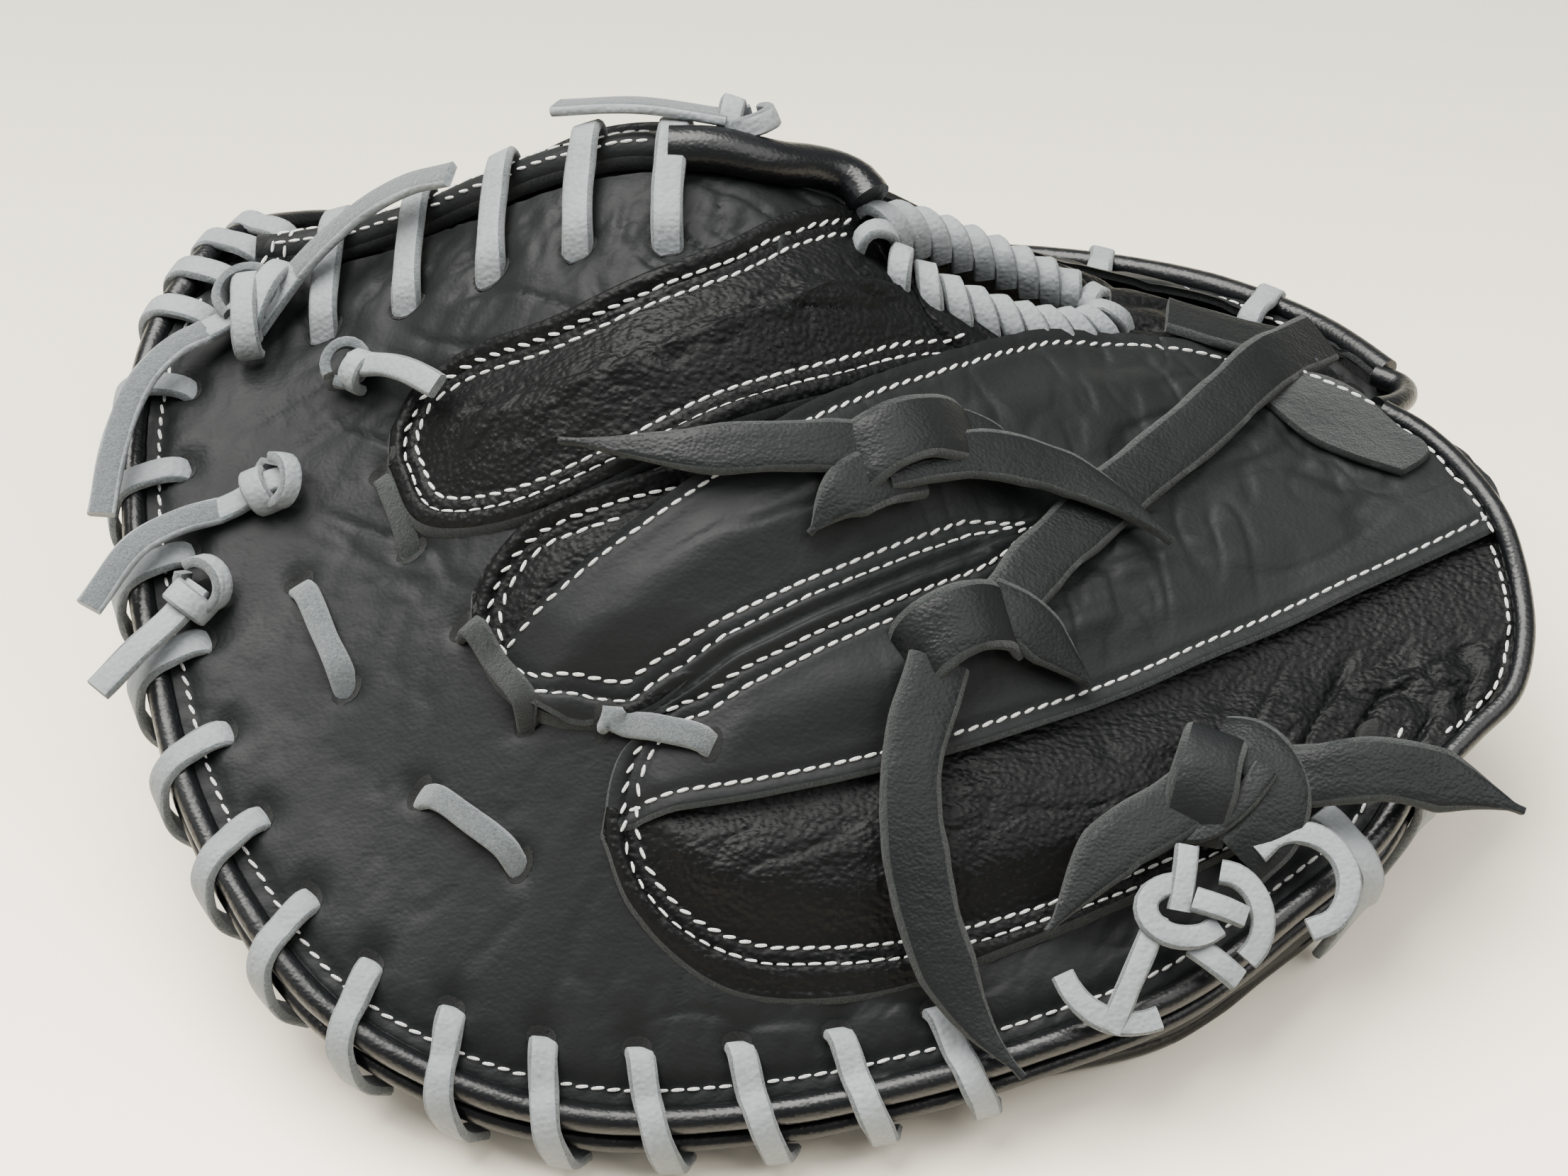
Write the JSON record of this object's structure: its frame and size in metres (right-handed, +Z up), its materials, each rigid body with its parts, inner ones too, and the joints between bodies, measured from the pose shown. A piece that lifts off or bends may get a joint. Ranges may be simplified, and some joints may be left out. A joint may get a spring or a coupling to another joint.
{
  "type": "baseball catcher's mitt",
  "caption": "Left-hand baseball catcher's mitt in black leather, lying palm down, with a thick padded laced rim, web, finger stalls and a wrist opening.",
  "frame": {"origin": "centre of the bottom of the mitt, without its four long loose lace ends", "axes": "+X from the fingertips to the wrist, +Y from the little-finger side to the thumb side, +Z up through the back of the hand"},
  "size_m": [0.3034, 0.2534, 0.125],
  "materials": {
    "palm_leather": "satin",
    "padding": "matte",
    "lining": "matte",
    "smooth_leather": "satin",
    "grain_leather": "satin",
    "piping": "glossy",
    "grey_lace": "matte",
    "black_strap": "satin",
    "suede": "matte"
  },
  "bodies": {
    "finger_side": {"palm_leather_fingers": "palm_leather", "palm_pad_fingers": "padding", "palm_pad_heel": "padding", "hand_lining": "lining", "back_crescent": "smooth_leather", "back_overlay": "smooth_leather", "ridge_band": "smooth_leather", "index_stall": "grain_leather", "middle_stall": "grain_leather", "little_stall": "grain_leather", "index_knuckle_panel": "grain_leather", "web_panel": "grain_leather", "wrist_binding": "piping", "ridge_roll": "piping", "back_welt_fingers": "piping", "palm_welt_fingers": "piping", "rim_lace_fingers": "grey_lace", "ridge_lace_1": "grey_lace", "ridge_lace_2": "grey_lace", "ridge_lace_3": "grey_lace", "ridge_lace_4": "grey_lace", "ridge_lace_5": "grey_lace", "crescent_tie_1": "grey_lace", "crescent_tie_2": "grey_lace", "crescent_tie_3": "grey_lace", "finger_hole_lacing": "grey_lace", "knot_index": "grey_lace", "knot_fingertip": "grey_lace", "knot_ring_tip": "grey_lace", "knot_web": "grey_lace", "knot_ridge": "grey_lace", "knot_heel": "grey_lace", "lace_end_index": "grey_lace", "lace_end_fingertip": "grey_lace", "lace_end_ring_tip": "grey_lace", "lace_end_web": "grey_lace", "lace_end_web_upper": "grey_lace", "lace_end_ridge": "grey_lace", "strap_knot_upper": "black_strap", "strap_knot_middle": "black_strap", "strap_knot_lower": "black_strap", "wrist_strap": "black_strap", "thumb_strap": "black_strap", "strap_end_upper_left": "black_strap", "strap_end_upper_right": "black_strap", "strap_end_middle": "black_strap", "strap_end_lower_right": "black_strap", "strap_end_lower_left": "black_strap", "wrist_flap": "suede"},
    "thumb_side": {"palm_leather_thumb": "palm_leather", "palm_pad_thumb": "padding", "thumb_back": "smooth_leather", "thumb_stall": "grain_leather", "back_welt_thumb": "piping", "palm_welt_thumb": "piping", "rim_lace_thumb": "grey_lace"}
  },
  "joints": [
    {"name": "pocket_fold", "type": "hinge", "parent": "finger_side", "child": "thumb_side", "pos_m": [-0.00655, 0.05155, 0.0326], "axis": [-0.9826, 0.1376, 0.1248], "range_deg": [-6, 28]}
  ]
}
